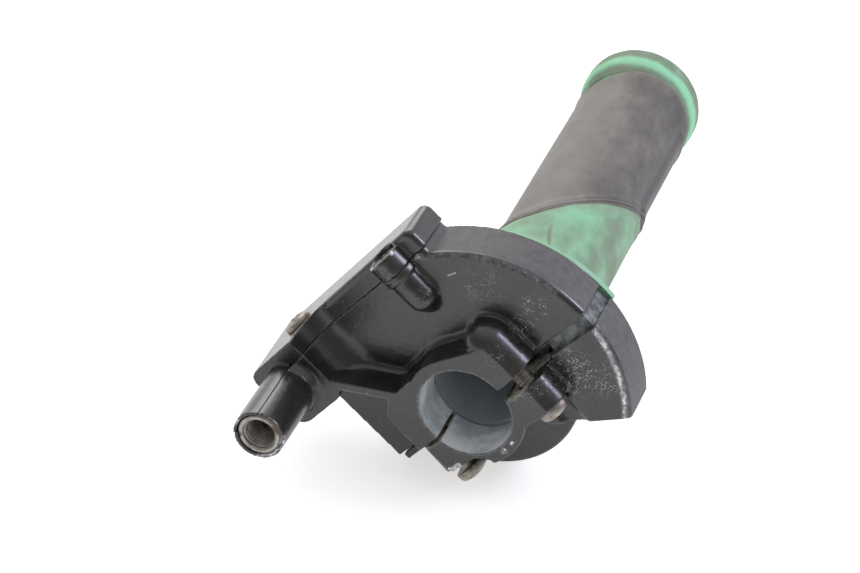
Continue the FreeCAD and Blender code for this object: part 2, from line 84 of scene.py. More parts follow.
def shade_smooth(mesh):
    mesh.polygons.foreach_set("use_smooth", [True] * len(mesh.polygons))


def new_object(name, points, faces):
    mesh = bpy.data.meshes.new(name)
    mesh.from_pydata([tuple(point) for point in points], [], faces)
    mesh.update()
    shade_smooth(mesh)
    piece = bpy.data.objects.new(name, mesh)
    bpy.context.scene.collection.objects.link(piece)
    return piece


def read_points(mesh):
    points = np.empty(len(mesh.vertices) * 3)
    mesh.vertices.foreach_get("co", points)
    return points.reshape(-1, 3)


def read_normals(mesh):
    normals = np.empty(len(mesh.vertices) * 3)
    mesh.vertices.foreach_get("normal", normals)
    return normals.reshape(-1, 3)


def write_points(mesh, points):
    mesh.vertices.foreach_set("co", np.asarray(points, float).ravel())
    mesh.update()


def write_mask(mesh, name, values):
    layer = mesh.attributes.new(name, "FLOAT", "POINT")
    layer.data.foreach_set("value", np.asarray(values, float))


def fractal(points, scale, octaves, seed):
    """Smooth noise of about -1 to 1 at points in millimetres."""
    shift = Vector((seed, 2.3 * seed, 5.1 * seed))
    places = (Vector(point) * scale + shift for point in points)
    return np.array([noise.fractal(place, 1.0, 2.0, octaves) for place in places])


class Neighbours:
    """Averages over a mesh's edges."""

    def __init__(self, mesh):
        pairs = np.empty(len(mesh.edges) * 2, dtype=np.int64)
        mesh.edges.foreach_get("vertices", pairs)
        pairs = pairs.reshape(-1, 2)
        self.first, self.second = pairs[:, 0], pairs[:, 1]
        self.count = len(mesh.vertices)
        self.degree = np.bincount(pairs.ravel(), minlength=self.count).clip(1)

    def mean(self, values):
        if values.ndim == 2:
            return np.stack([self.mean(values[:, k]) for k in range(values.shape[1])], axis=1)
        total = np.bincount(self.first, values[self.second], self.count)
        total += np.bincount(self.second, values[self.first], self.count)
        return total / self.degree

    def spread(self, values, rounds):
        for _ in range(rounds):
            values = 0.5 * values + 0.5 * self.mean(values)
        return values

    def grow(self, values, rounds):
        for _ in range(rounds):
            values = np.maximum(values, self.mean(values) * 1.02)
        return values


def bending(points, normals, around):
    """Signed curvature in 1/mm: above 0 on outer edges, below 0 in corners."""
    mean = around.mean(points)
    span = np.linalg.norm(points[around.first] - points[around.second], axis=1).mean()
    return -4.0 * np.einsum("ij,ij->i", mean - points, normals) / span ** 2


# ---- materials ----

class Surface:
    """A Principled material built up from object-space noise."""

    def __init__(self, name, roughness=0.5, metallic=0.0):
        self.material = bpy.data.materials.new(name)
        self.material.use_nodes = True
        self.tree = self.material.node_tree
        self.shader = self.tree.nodes["Principled BSDF"]
        self.shader.inputs["Roughness"].default_value = roughness
        self.shader.inputs["Metallic"].default_value = metallic
        self.place = self.tree.nodes.new("ShaderNodeTexCoord").outputs["Object"]
        self.height = None

    def feed(self, socket, value):
        if isinstance(value, bpy.types.NodeSocket):
            self.tree.links.new(value, socket)
        else:
            socket.default_value = value

    def noise(self, scale, detail=3.0, roughness=0.55, stretch=None):
        node = self.tree.nodes.new("ShaderNodeTexNoise")
        node.inputs["Scale"].default_value = scale
        node.inputs["Detail"].default_value = detail
        node.inputs["Roughness"].default_value = roughness
        place = self.place
        if stretch is not None:
            mapping = self.tree.nodes.new("ShaderNodeMapping")
            mapping.inputs["Scale"].default_value = stretch
            self.tree.links.new(self.place, mapping.inputs["Vector"])
            place = mapping.outputs["Vector"]
        self.tree.links.new(place, node.inputs["Vector"])
        return node.outputs["Fac"]

    def cells(self, scale):
        node = self.tree.nodes.new("ShaderNodeTexVoronoi")
        node.inputs["Scale"].default_value = scale
        self.tree.links.new(self.place, node.inputs["Vector"])
        return node.outputs["Distance"]

    def mask(self, name):
        node = self.tree.nodes.new("ShaderNodeAttribute")
        node.attribute_name = name
        return node.outputs["Fac"]

    def math(self, operation, first, second=0.0):
        node = self.tree.nodes.new("ShaderNodeMath")
        node.operation = operation
        node.use_clamp = operation == "ADD"
        self.feed(node.inputs[0], first)
        self.feed(node.inputs[1], second)
        return node.outputs[0]

    def between(self, value, low, high):
        """0 below low, 1 above high."""
        node = self.tree.nodes.new("ShaderNodeMapRange")
        node.interpolation_type = "SMOOTHSTEP"
        self.feed(node.inputs["Value"], value)
        node.inputs["From Min"].default_value = low
        node.inputs["From Max"].default_value = high
        return node.outputs["Result"]

    def scaled(self, value, low, high):
        """A 0 to 1 value taken to low to high."""
        node = self.tree.nodes.new("ShaderNodeMapRange")
        self.feed(node.inputs["Value"], value)
        node.inputs["To Min"].default_value = low
        node.inputs["To Max"].default_value = high
        return node.outputs["Result"]

    def blend(self, amount, below, above):
        node = self.tree.nodes.new("ShaderNodeMix")
        node.data_type = "RGBA"
        self.feed(node.inputs[0], amount)
        self.feed(node.inputs[6], below)
        self.feed(node.inputs[7], above)
        return node.outputs[2]

    def color(self, value):
        self.feed(self.shader.inputs["Base Color"], value)

    def set(self, **values):
        for name, value in values.items():
            self.feed(self.shader.inputs[name.replace("_", " ").title()], value)

    def relief(self, height, strength, distance):
        node = self.tree.nodes.new("ShaderNodeBump")
        node.inputs["Strength"].default_value = strength
        node.inputs["Distance"].default_value = distance
        self.tree.links.new(height, node.inputs["Height"])
        if self.height is not None:
            self.tree.links.new(self.height, node.inputs["Normal"])
        self.height = node.outputs["Normal"]
        self.tree.links.new(self.height, self.shader.inputs["Normal"])


def casting_material():
    """Satin black paint on die casting, rubbed through to bare metal, with painted shade in its
    corners and painted light in the bore.
    """
    s = Surface("black_paint")
    s.shader.inputs["IOR"].default_value = 1.62
    mottle = s.noise(260.0, 4.0)
    paint = s.blend(s.between(mottle, 0.35, 0.7), srgb(31, 30, 28), srgb(43, 41, 38))
    # Painted shade: concave corners, and the tongue's strip beside the body's edge, are darkened
    # towards near black.
    paint = s.blend(s.math("MULTIPLY", s.mask("corner_shade"), 0.55), paint, srgb(20, 20, 21))
    dust = s.between(s.noise(420.0, 5.0, 0.7), 0.3, 0.7)
    dusty = s.blend(dust, srgb(46, 44, 43), srgb(74, 71, 70))
    paint = s.blend(s.math("MULTIPLY", s.mask("matte"), 0.8), paint, dusty)
    rubbed = s.math("ADD", s.mask("wear"), s.scaled(s.noise(900.0, 5.0, 0.7), -0.5, 0.5))
    thin_paint_and_highlight = s.between(rubbed, 0.3, 0.75)
    # The thinly rubbed paint is a pale blue-grey, which also paints in the soft bluish highlight
    # along the rounded rim edge.
    paint = s.blend(s.math("MULTIPLY", thin_paint_and_highlight, 0.6), paint, srgb(134, 133, 138))
    grain = s.between(s.noise(700.0, 4.0), 0.35, 0.65)
    metal = s.blend(grain, srgb(140, 140, 142), srgb(210, 210, 210))
    dots = s.math("SUBTRACT", 1.0, s.between(s.cells(2300.0), 0.22, 0.4))
    clusters = s.between(s.noise(700.0, 4.0, 0.65), 0.38, 0.6)
    dots = s.math("MULTIPLY", dots, s.scaled(clusters, 0.0, 0.85))
    specks = s.math("MULTIPLY", dots, s.mask("specks"))
    worn_through = s.between(rubbed, 0.66, 0.78)
    bare = s.math("MAXIMUM", worn_through, specks)
    color = s.blend(bare, paint, metal)
    tarnish = s.between(s.noise(150.0, 5.0, 0.6), 0.4, 0.62)
    # The bore's metal is kept very pale, partly its bare metal and partly painted light inside the
    # bore; a paler patch low in the bore is a painted pool of light.
    bore_metal_and_light = s.blend(tarnish, srgb(190, 196, 200), srgb(240, 244, 247))
    bore_metal_and_light = s.blend(s.mask("painted_light"), bore_metal_and_light, srgb(232, 236, 240))
    color = s.blend(s.mask("bore"), color, bore_metal_and_light)
    mottling = s.between(s.noise(420.0, 5.0, 0.65), 0.35, 0.65)
    grey_metal = s.blend(mottling, srgb(50, 54, 55), srgb(106, 110, 110))
    color = s.blend(s.mask("lip"), color, grey_metal)
    # The clamp's parting face: a cream crust, made paler than the crust alone to paint in light
    # where the narrow gap shades it.
    crust = s.between(s.noise(900.0, 4.0), 0.3, 0.7)
    crust_and_painted_light = s.blend(crust, srgb(150, 147, 135), srgb(214, 208, 192))
    s.color(s.blend(s.mask("mating"), color, crust_and_painted_light))
    metallic = s.math("MULTIPLY", bare, 0.6)
    metallic = s.math("MAXIMUM", metallic, s.math("MULTIPLY", s.mask("bore"), 0.1))
    s.set(metallic=s.math("MAXIMUM", metallic, s.math("MULTIPLY", s.mask("lip"), 0.4)))
    satin = s.scaled(s.noise(600.0, 3.0), 0.22, 0.35)
    satin = s.math("MAXIMUM", satin, s.math("MULTIPLY", s.mask("matte"), 0.62))
    uncovered = s.math("MAXIMUM", bare, s.mask("lip"))
    uncovered = s.math("MAXIMUM", uncovered, s.math("MAXIMUM", s.mask("bore"), s.mask("mating")))
    s.set(roughness=s.math("MAXIMUM", satin, s.math("MULTIPLY", uncovered, 0.46)))
    s.relief(s.noise(1900.0, 2.0), 0.08, 0.0001)
    s.relief(bare, -0.25, 0.00012)
    return s.material


def rubber_material(name, low, high, stain_and_shade, lighter_tone_and_highlight):
    """Aged rubber: two tones, stains deepened by painted shade, and a paler tone that is partly
    rubbed rubber and partly a painted highlight, all from noise and masks.
    """
    s = Surface(name, roughness=0.62)
    tone = s.blend(s.between(s.noise(150.0, 5.0, 0.6, ALONG_BAR), 0.25, 0.75), low, high)
    fine = s.noise(1400.0, 4.0, 0.7)
    tone = s.blend(s.scaled(fine, 0.0, 0.12), tone, high)
    # The dark stain tone serves for real dirt and for painted shade on the grip's right side and on
    # the sleeve's flap.
    dirt_and_shade = s.math("ADD", s.mask("dirt_and_shade"), s.scaled(s.noise(210.0, 5.0, 0.65, ALONG_BAR), -0.4, 0.4))
    tone = s.blend(s.math("MULTIPLY", s.between(dirt_and_shade, 0.25, 1.0), 0.95), tone, stain_and_shade)
    s.color(s.blend(s.mask("lighter_tone_and_highlight"), tone, lighter_tone_and_highlight))
    s.set(roughness=s.scaled(s.noise(340.0, 4.0), 0.5, 0.78))
    s.relief(s.noise(700.0, 5.0, 0.6), 0.2, 0.00025)
    s.relief(fine, 0.05, 0.00008)
    return s


def sleeve_material():
    s = rubber_material("dark_sleeve_rubber", low=srgb(92, 87, 80), high=srgb(106, 101, 93),
                        stain_and_shade=srgb(46, 42, 39), lighter_tone_and_highlight=srgb(116, 111, 102))
    s.shader.inputs["Sheen Weight"].default_value = 0.12
    s.shader.inputs["Sheen Roughness"].default_value = 0.5
    return s.material


def green_rubber_material():
    s = rubber_material("green_grip_rubber", low=srgb(108, 154, 118), high=srgb(128, 178, 140),
                        stain_and_shade=srgb(96, 110, 88), lighter_tone_and_highlight=srgb(126, 192, 148))
    return s.material


def green_plastic_material():
    s = Surface("green_moulding", roughness=0.4)
    tone = s.blend(s.noise(300.0, 3.0), srgb(108, 150, 120), srgb(128, 176, 142))
    s.color(s.blend(s.between(s.noise(160.0, 5.0), 0.5, 0.8), tone, srgb(104, 114, 98)))
    s.set(roughness=s.scaled(s.noise(500.0), 0.34, 0.5))
    s.relief(s.noise(900.0, 3.0), 0.12, 0.0001)
    return s.material


def aluminium_material():
    s = Surface("dull_tube", metallic=0.25)
    s.color(s.blend(s.noise(140.0, 4.0), srgb(160, 168, 172), srgb(206, 212, 214)))
    s.set(roughness=s.scaled(s.noise(400.0, 3.0), 0.38, 0.6))
    s.relief(s.noise(500.0, 3.0, stretch=(6.0, 0.4, 6.0)), 0.15, 0.00008)
    return s.material


def steel_material(name, dark, light, rust, amount):
    s = Surface(name, metallic=0.75)
    tone = s.blend(s.noise(600.0, 4.0), dark, light)
    s.color(s.blend(s.between(s.noise(420.0, 5.0), 0.62 - amount, 0.78 - amount), tone, rust))
    s.set(roughness=s.scaled(s.noise(700.0, 3.0), 0.3, 0.6))
    s.relief(s.noise(1500.0, 4.0), 0.2, 0.00008)
    return s.material


def brass_material():
    s = Surface("dull_brass", metallic=0.9)
    s.color(s.blend(s.noise(700.0, 4.0), srgb(120, 96, 52), srgb(176, 146, 84)))
    s.set(roughness=s.scaled(s.noise(500.0), 0.3, 0.5))
    return s.material


def nylon_material():
    s = Surface("white_nylon")
    s.color(s.blend(s.noise(260.0, 4.0), srgb(206, 200, 184), srgb(226, 222, 210)))
    s.set(roughness=s.scaled(s.noise(600.0), 0.36, 0.5))
    s.relief(s.noise(1200.0), 0.08, 0.00005)
    return s.material


# ---- castings ----

ROOT_ROUNDS = 60


def remeshed(name, node, voxel):
    """A copy of a CAD node as an even mesh, whose edges can be rounded."""
    piece = bpy.data.objects.new(name, nodes[node].data.copy())
    bpy.context.scene.collection.objects.link(piece)
    modifier = piece.modifiers.new("even", "REMESH")
    modifier.mode = "VOXEL"
    modifier.voxel_size = voxel * MM
    modifier.adaptivity = 0.0
    state = bpy.context.evaluated_depsgraph_get()
    mesh = bpy.data.meshes.new_from_object(piece.evaluated_get(state))
    piece.modifiers.clear()
    piece.data = mesh
    mesh.name = name
    shade_smooth(mesh)
    return piece


def near_point(points, centre, radius):
    """1 at centre, fading to 0 at radius."""
    distance = np.linalg.norm(points - np.array(centre, float), axis=1)
    return 1.0 - smoothstep(0.35 * radius, radius, distance)


def near_line(points, start, end, radius):
    """1 on the line from start to end, fading to 0 at radius."""
    start, end = np.array(start, float), np.array(end, float)
    along = np.clip((points - start) @ (end - start) / ((end - start) @ (end - start)), 0.0, 1.0)
    distance = np.linalg.norm(points - start - along[:, None] * (end - start), axis=1)
    return 1.0 - smoothstep(0.4 * radius, radius, distance)


def casting(name, node, voxel, wear_spots, speck_spots, edge_wear):
    """Rounds edges and root corners, sinks the chips and writes the wear masks, with the painted
    shade and painted light masks.
    """
    piece = remeshed(name, node, voxel)
    mesh = piece.data
    around = Neighbours(mesh)
    points = to_local(read_points(mesh))
    for _ in range(2):
        points += 0.5 * (around.mean(points) - points)
    write_points(mesh, from_local(points))
    normals = to_local(read_normals(mesh)) * MM
    bend = bending(points, normals, around)

    # Corners where the walls stand on the plate are rounded; outer edges keep their shape.
    radius = np.hypot(points[:, 0], points[:, 2])
    roots = (points[:, 1] > PLATE_Y - 2.2) & (points[:, 1] < PLATE_Y + 1.5)
    roots &= (radius < RIM_RADIUS - 2.5) & (points[:, 0] > -29.0) & (points[:, 2] < COVER_B + 6.0)
    crease = around.spread(around.grow(np.where(roots & (bend < -0.5), 1.0, 0.0), 5), 3)
    outer = around.spread(np.where(bend > 0.6, 1.0, 0.0), 3)
    soften = np.clip(crease * 1.6, 0.0, 1.0) * (1.0 - np.clip(outer * 3.0, 0.0, 1.0))
    for _ in range(ROOT_ROUNDS):
        points += soften[:, None] * 0.6 * (around.mean(points) - points)
    write_points(mesh, from_local(points))
    normals = to_local(read_normals(mesh)) * MM

    # Wear follows the outer edges in patches, and the spots listed for each casting.
    bend = around.spread(bending(points, normals, around), 3)
    rough = fractal(points, 0.35, 3, 4.0)
    patches = smoothstep(-0.25, 0.35, fractal(points, 0.09, 2, 8.0))
    wear = edge_wear * smoothstep(0.5, 1.9, bend + 0.25 * rough) * (0.45 + 0.55 * patches)
    for spot in wear_spots:
        wear = np.maximum(wear, spot(points))
    chips = np.clip(wear - 0.75, 0.0, 1.0) * np.clip(0.6 + rough, 0.0, 1.0)
    inside_bore = np.zeros(len(points))
    if node in BORE_CENTRE:
        from_axis = points[:, (0, 2)] - np.array(BORE_CENTRE[node])
        reach = np.linalg.norm(from_axis, axis=1)
        off_edge = ((reach - BORE_EDGE) / 0.4) ** 2 + ((points[:, 1] - 0.15) / 0.4) ** 2
        wear = np.maximum(wear, 0.64 * np.exp(-off_edge))
        inside = (reach < BORE_EDGE + 0.65) & (points[:, 1] > 0.35) & (points[:, 1] < BORE_DEPTH)
        facing = np.einsum("ij,ij->i", normals[:, (0, 2)], from_axis) < -0.3 * reach
        inside_bore = around.spread((inside & facing).astype(float), 1)
    mating = np.zeros(len(points))
    lip = np.zeros(len(points))
    shaded = np.zeros(len(points))
    if node == "clamp_half":
        parting = (normals[:, 2] > 0.7) & (points[:, 2] > -5.0) & (points[:, 1] < PLATE_Y + 4.0)
        parting &= (radius < LUG_REACH) & (points[:, 0] > CLAMP_LEFT)
        mating = around.spread(parting.astype(float), 5)
        lip = around.spread(clamp_lip(points, radius).astype(float), 2)
        wear *= (1.0 - 0.6 * lip) * (points[:, 0] > CLAMP_LEFT - 0.5)
        # Painted shadow: the tongue's strip next to the body's edge goes into the corner shade mask
        # as the gap's shadow.
        shaded = lip * smoothstep(-2.1, -1.5, points[:, 2])
        lip -= shaded
    if node == "housing_body":
        wear *= 1.0 - 0.85 * ((points[:, 2] < 0.2) & (points[:, 0] > -10.0))
    matte = np.zeros(len(points))
    if node != "cable_cover":
        outside = (radius > RIM_RADIUS - 0.5) & (points[:, 1] > PLATE_Y + 1.2)
        matte = around.spread(outside.astype(float), 3)
    specks = np.zeros(len(points))
    for centre, size, amount in speck_spots:
        specks = np.maximum(specks, amount * near_point(points, centre, size))
    points -= normals * (0.45 * chips * (1.0 - inside_bore))[:, None]
    points += normals * (0.02 * fractal(points, 0.9, 2, 1.0))[:, None]
    solid = read_points(nodes[node].data)
    write_points(mesh, np.clip(from_local(points), solid.min(axis=0), solid.max(axis=0)))
    write_mask(mesh, "wear", wear * (1.0 - inside_bore))
    # Painted shade in concave corners and in the gap beside the tongue.
    write_mask(mesh, "corner_shade", np.maximum(smoothstep(0.15, 0.8, -bend), 2.2 * shaded))
    write_mask(mesh, "bore", inside_bore)
    write_mask(mesh, "mating", mating)
    write_mask(mesh, "lip", lip)
    write_mask(mesh, "matte", matte)
    # Painted light: a pale patch low in the bore.
    write_mask(mesh, "painted_light", inside_bore * near_point(points, (2.5, 2.0, -12.0), 9.0))
    write_mask(mesh, "specks", specks)
    return piece


def clamp_lip(points, radius):
    """The clamp half's tongue and its parting face, outside the lugs."""
    drop = (points[:, 0] - CLAMP_PIVOT[0]) * math.tan(CLAMP_OPENING)
    above_face = points[:, 2] - CLAMP_PIVOT[1] + drop
    return (radius > LUG_REACH + 0.5) & (points[:, 0] > 0.0) & (above_face > -0.15)


def rim_wear_and_highlight(strength, first, last):
    """Rubbed paint and bare metal along the rounded front edge of the rim; the rubbed blue-grey
    band also serves as a painted highlight.
    """
    def spot(points):
        angle = np.degrees(np.arctan2(points[:, 2], points[:, 0]))
        radius = np.hypot(points[:, 0], points[:, 2])
        band = np.exp(-((radius - RIM_RADIUS + 0.9) / 1.05) ** 2)
        band *= np.exp(-((points[:, 1] - PLATE_Y - 0.5) / 0.9) ** 2)
        return strength * band * ((angle > first) & (angle < last))
    return spot


def chip(centre, size, strength=1.0):
    def spot(points):
        return strength * near_point(points, centre, size) * ragged(points)
    return spot


def scratch(start, end, width):
    def spot(points):
        return near_line(points, start, end, width)
    return spot


def long_chip(start, end, width, strength=1.0):
    def spot(points):
        return strength * near_line(points, start, end, width) * ragged(points)
    return spot


def ragged(points):
    """Breaks a worn spot up into an uneven patch."""
    return np.clip(0.85 + 0.75 * fractal(points, 1.1, 3, 17.0), 0.0, 1.25)


# ---- turned pieces ----

CROWN_ROWS = 14


def closed_turn(name, rows, columns, place, joined=True):
    """Closed skin from rows of points round an axis; single-point rows close it at the poles."""
    points = []
    starts = []
    for row in range(rows):
        ring = place(row)
        starts.append((len(points), len(ring)))
        points.extend(ring)
    faces = []
    pairs = list(zip(starts, starts[1:] + starts[:1])) if joined else list(zip(starts, starts[1:]))
    for (low, low_count), (high, high_count) in pairs:
        if low_count == 1 and high_count == 1:
            continue
        for k in range(columns):
            n = (k + 1) % columns
            if low_count == 1:
                faces.append((low, high + n, high + k))
            elif high_count == 1:
                faces.append((low + k, low + n, high))
            else:
                faces.append((low + k, low + n, high + n, high + k))
    return new_object(name, points, faces)


def profile_points(corners, step):
    """Points along straight runs between corners (radius, height), no further apart than step."""
    result = []
    for (r0, h0), (r1, h1) in zip(corners, corners[1:]):
        count = max(1, round(math.hypot(r1 - r0, h1 - h0) / step))
        for k in range(count):
            result.append((r0 + (r1 - r0) * k / count, h0 + (h1 - h0) * k / count))
    return result + [corners[-1]]


def head_outline(head, height, dome):
    """Crown and rounded rim of a pan head, as (radius, height) from its top outwards."""
    crown = [(head * math.sin(t), -height + 0.55 * dome * height * (1 - math.cos(t)))
             for t in np.linspace(0, 1.0, CROWN_ROWS)]
    rim = [(head * math.sin(1.0) + head * (1 - math.sin(1.0)) * math.sin(t),
            crown[-1][1] + 0.45 * dome * height * (1 - math.cos(t)))
           for t in np.linspace(0.2, math.pi / 2, 7)]
    return [(max(r, 0.0), h) for r, h in crown + rim]


def screw(name, node, origin, axis_up, shank, head, height, length, pitch, material, dome=1.0):
    """Pan-head screw with a cross recess and a rolled thread, its bearing face at origin."""
    columns = 96
    plain_shank, thread_depth, recess_depth = 1.6, 0.36, 0.42 * height
    outline = head_outline(head, height, dome)
    outline += [(head, -0.12), (head - 0.12, 0.0), (shank + 0.1, 0.0)]
    shaft = [(shank, 0.15), (shank, length - 0.6), (shank - 0.6, length)]
    outline += profile_points(shaft, pitch / 8)
    outline.append((0.0, length))
    arm, reach = 0.16 * head, 0.56 * head

    def place(row):
        r, h = outline[row]
        if r == 0.0:
            return [(0.0, 0.0, h + (recess_depth if row == 0 else 0.0))]
        ring = []
        for k in range(columns):
            angle = 2 * math.pi * k / columns
            radius, rise = r, 0.0
            if h > plain_shank and r > shank - 0.55:
                phase = (h / pitch - angle / (2 * math.pi)) % 1.0
                radius = r - thread_depth * abs(2 * phase - 1.0)
            if row < CROWN_ROWS:
                x, y = abs(r * math.cos(angle)), abs(r * math.sin(angle))
                across, along = min(x, y), max(x, y)
                inside = max(0.0, min(1.0, (arm - across) / 0.18))
                inside *= max(0.0, min(1.0, (reach - along) / 0.3))
                rise = recess_depth * inside
            ring.append((radius * math.cos(angle), radius * math.sin(angle), h + rise))
        return ring

    piece = closed_turn(name, len(outline), columns, place, joined=False)
    points = read_points(piece.data)
    if not axis_up:
        points = points * np.array([1.0, -1.0, -1.0])
    write_points(piece.data, from_local(points + np.array(origin)))
    return finished(piece, node, "housing", material)


def thread_insert(material, centre, front, back):
    """Bare sleeve with an internal thread and a chamfered mouth."""
    columns, pitch = 96, 1.0
    outer, core, depth = 5.22, 3.46, 0.5
    chamfer = [(core + 0.75, front + 0.02), (core + 0.1, front + 0.8)]
    outline = [(outer, back), (outer, front + 0.25), (outer - 0.25, front)]
    plain_rows = len(outline) + 1
    outline += profile_points(chamfer + [(core, back)], pitch / 9)

    def place(row):
        r, y = outline[row]
        ring = []
        for k in range(columns):
            angle = 2 * math.pi * k / columns
            radius = r
            if row >= plain_rows:
                phase = (y / pitch - angle / (2 * math.pi)) % 1.0
                fade = min(1.0, (y - front) / 0.9)
                radius = r + depth * fade * (1.0 - abs(2 * phase - 1.0))
            x, z = radius * math.cos(angle), radius * math.sin(angle)
            ring.append((centre[0] + x, y, centre[1] + z))
        return ring

    piece = closed_turn("threaded_mouth", len(outline), columns, place)
    write_points(piece.data, from_local(read_points(piece.data)))
    return finished(piece, "cable_insert", "housing", material)


# ---- grip ----
# Angles here are taken in the row's frame, about the bar, from +X towards +Z.
LEFT_SIDE = math.radians(154.0)
TUBE_OUTSIDE = 13.65
RUBBER_NEAR = 24.95
RUBBER_RADIUS = 15.75
STEP_LENGTH = 1.2
WAIST_RADIUS = 14.05
WAIST_END = 145.4
FLANGE_START = 145.6
END_WALL = 152.0
GRIP_END = 157.4
SLEEVE_MIDDLE = 84.3
SLEEVE_SLANT = 19.2
SLEEVE_RADIUS = 14.72
SLEEVE_INSIDE = 14.2
SLEEVE_END = 146.6
PATTERN_RADIUS = 14.5


def wrapped(angle):
    return math.atan2(math.sin(angle), math.cos(angle))


def on_the_right(angle):
    """0 on the grip's left side, 1 on its right."""
    return 0.5 - 0.5 * math.cos(angle - LEFT_SIDE)


def sleeve_start(angle):
    """The sleeve's slanted near edge, slightly ragged."""
    wander = 0.5 * noise.noise(Vector((2.2 * math.cos(angle), 2.2 * math.sin(angle), 7.0)))
    return SLEEVE_MIDDLE + SLEEVE_SLANT * math.cos(angle + math.radians(45.0)) + wander


def sleeve_stop(angle):
    """The far edge, pushed back beside the flange on the upper left."""
    turn = wrapped(angle - math.radians(138.0))
    return SLEEVE_END - 5.5 * math.exp(-(turn / 0.75) ** 2)


def lean_out(angle, y):
    """How far the grip sags to its left, away from the bar axis."""
    along = min(1.0, max(0.0, (y - 25.0) / 125.0))
    return 0.62 * along * math.cos(angle - LEFT_SIDE)


def ring_point(radius, angle, y):
    return (radius * math.cos(angle) * MM, y * MM, radius * math.sin(angle) * MM)


def creases(angle, y, scale, stretch, seed):
    """Noise of about -1 to 1 wrapped round the grip; stretch below 1 draws it out along the bar."""
    x, z = math.cos(angle) * PATTERN_RADIUS, math.sin(angle) * PATTERN_RADIUS
    return noise.fractal(Vector((x * scale, y * scale * stretch, z * scale + seed)), 1.0, 2.0, 3)


def groove(angle, y):
    """A short lengthwise crease on the top of the green rubber, 0 to 1."""
    line = math.radians(78.0) + 0.004 * (y - 58.0) + 0.05 * math.sin(y / 3.0)
    across = wrapped(angle - line) * 15.8 / 0.45
    return math.exp(-across ** 2) * math.exp(-((y - 57.5) / 5.0) ** 4)


def grip_rubber(material):
    """Green grip: plump inboard part, waist under the sleeve, rolled flange and closed end."""
    columns = 288
    bare_rows = 150
    rows = [("bore", 0.0)]
    rows += [("face", t) for t in (0.35, 0.7)]
    rows += [("bare", k / bare_rows) for k in range(bare_rows + 1)]
    rows += [("step", t) for t in (0.25, 0.5, 0.75, 1.0)]
    rows += [("waist", t) for t in np.linspace(0.05, 1.0, 24)]
    rows += [("flange", t) for t in np.linspace(0.02, 1.0, 46)]
    rows += [("end", t) for t in (0.8, 0.6, 0.4, 0.2)]
    rows += [("pole", 0.0), ("pole", 1.0), ("inside", 0.0)]
    masks = {"dirt_and_shade": [], "lighter_tone_and_highlight": []}

    def flange(t, angle):
        """Outline of the rolled outer end as (radius, y)."""
        turn = t * math.pi
        bulge = math.sin(min(turn * 1.15, math.pi / 2))
        radius = 14.2 + 1.95 * bulge - 1.5 * max(0.0, (t - 0.62) / 0.38) ** 2.2
        y = FLANGE_START + (GRIP_END - FLANGE_START) * (1.0 - (1.0 - t) ** 1.35)
        return radius + 0.07 * creases(angle, y, 0.35, 1.0, 11.0), y

    def place(row):
        kind, t = rows[row]
        if kind == "pole":
            masks["dirt_and_shade"].append(0.4)
            masks["lighter_tone_and_highlight"].append(0.0)
            return [(0.0, (GRIP_END if t == 0.0 else END_WALL) * MM, 0.0)]
        ring = []
        for k in range(columns):
            angle = 2 * math.pi * k / columns
            edge = sleeve_start(angle)
            dirt_and_shade, lighter_tone_and_highlight = 0.35, 0.0
            right = on_the_right(angle)
            if kind == "bore":
                radius, y = TUBE_OUTSIDE, RUBBER_NEAR
            elif kind == "inside":
                radius, y = TUBE_OUTSIDE, END_WALL
            elif kind == "face":
                radius, y = TUBE_OUTSIDE + 1.9 * t, RUBBER_NEAR
            elif kind == "bare":
                y = RUBBER_NEAR + (edge - RUBBER_NEAR) * t
                to_edge = edge - y
                radius = RUBBER_RADIUS + 0.28 * right * smoothstep(40.0, 92.0, np.float64(y))
                radius += 0.16 * creases(angle, y, 0.085, 0.7, 3.0)
                radius += 0.05 * creases(angle, y, 0.5, 0.35, 9.0)
                radius += 0.22 * math.exp(-((to_edge - 4.5) / 2.5) ** 2)
                radius -= 0.5 * math.exp(-(to_edge / 1.3) ** 2)
                radius -= 0.55 * math.exp(-((y - RUBBER_NEAR) / 0.5))
                radius -= 0.22 * groove(angle, y)
                # Crease dirt; darker next to the sleeve's edge and in the groove; painted shade on
                # the right side.
                dirt_and_shade = 0.42 + 0.3 * creases(angle, y, 0.11, 0.6, 21.0)
                dirt_and_shade += 0.25 * math.exp(-to_edge / 3.0)
                dirt_and_shade += 0.35 * right + 0.5 * groove(angle, y)
                lighter_tone_and_highlight = 0.5 * math.exp(-((to_edge - 7.0) / 4.0) ** 2)
                lighter_tone_and_highlight *= max(0.0, creases(angle, y, 0.12, 1.0, 5.0) + 0.3)
            elif kind == "step":
                y = edge + STEP_LENGTH * t
                radius = 15.2 - 1.1 * t
            elif kind == "waist":
                y = edge + STEP_LENGTH + (WAIST_END - edge - STEP_LENGTH) * t
                radius = WAIST_RADIUS
            elif kind == "flange":
                radius, y = flange(t, angle)
                # Painted highlight: a pale band round the flange's rolled crest, with the rest of
                # the flange taking the darker stain tone.
                painted_light = math.exp(-((t - 0.3) / 0.105) ** 2)
                dirt_and_shade = 1.0 - painted_light + 0.45 * creases(angle, y, 0.2, 1.0, 2.0)
                lighter_tone_and_highlight = 0.75 * painted_light
            else:
                radius, y = flange(1.0, angle)
                radius, y, dirt_and_shade = radius * t, GRIP_END, 0.45
            if kind not in ("bore", "inside", "face", "waist"):
                radius += lean_out(angle, y)
            ring.append(ring_point(radius, angle, y))
            masks["dirt_and_shade"].append(dirt_and_shade)
            masks["lighter_tone_and_highlight"].append(lighter_tone_and_highlight)
        return ring

    piece = closed_turn("green_grip", len(rows), columns, place)
    for name, values in masks.items():
        write_mask(piece.data, name, np.clip(values, 0.0, 1.0))
    return finished(piece, "grip_rubber", "grip", material)


